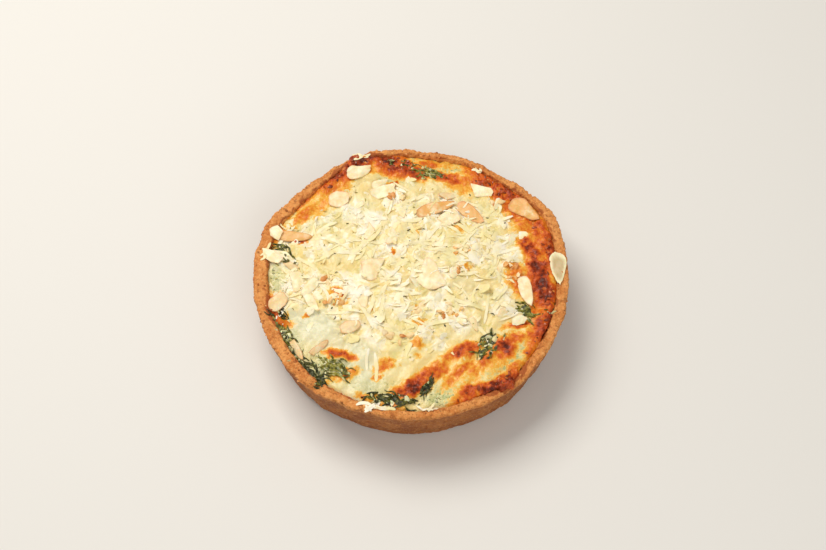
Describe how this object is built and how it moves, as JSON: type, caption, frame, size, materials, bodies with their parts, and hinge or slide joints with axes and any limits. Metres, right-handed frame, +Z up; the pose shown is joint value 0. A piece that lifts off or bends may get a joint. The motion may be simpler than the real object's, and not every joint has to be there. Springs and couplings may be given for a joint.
{
  "type": "spinach quiche",
  "caption": "Small round baked quiche in a thin browned pastry case, with a melted cheese and egg filling, sunken spinach leaves, grated cheese shreds and flaked almonds on top.",
  "frame": {"origin": "centre of the bounding box's bottom, on the underside of the pastry case", "axes": "+Z up out of the filling, +Y away from the viewer of the picture, +X to the viewer's right"},
  "size_m": [0.1134, 0.112, 0.0265],
  "materials": {
    "pastry": "dry baked shortcrust, golden brown, matte",
    "baked_cheese": "melted cheese and set egg, cream with brown blisters, satin",
    "spinach": "wilted cooked leaf, near-black green, slightly oily"
  },
  "bodies": {
    "root": {"crust": "pastry", "filling": "baked_cheese", "spinach_front_left_outer": "spinach", "spinach_front_left_inner": "spinach", "spinach_front": "spinach", "spinach_front_right": "spinach", "spinach_right": "spinach", "spinach_left": "spinach", "spinach_left_back": "spinach", "spinach_back": "spinach", "spinach_back_rim": "spinach", "spinach_right_rim": "spinach", "spinach_front_scrap": "spinach", "spinach_left_scrap": "spinach"}
  },
  "joints": []
}
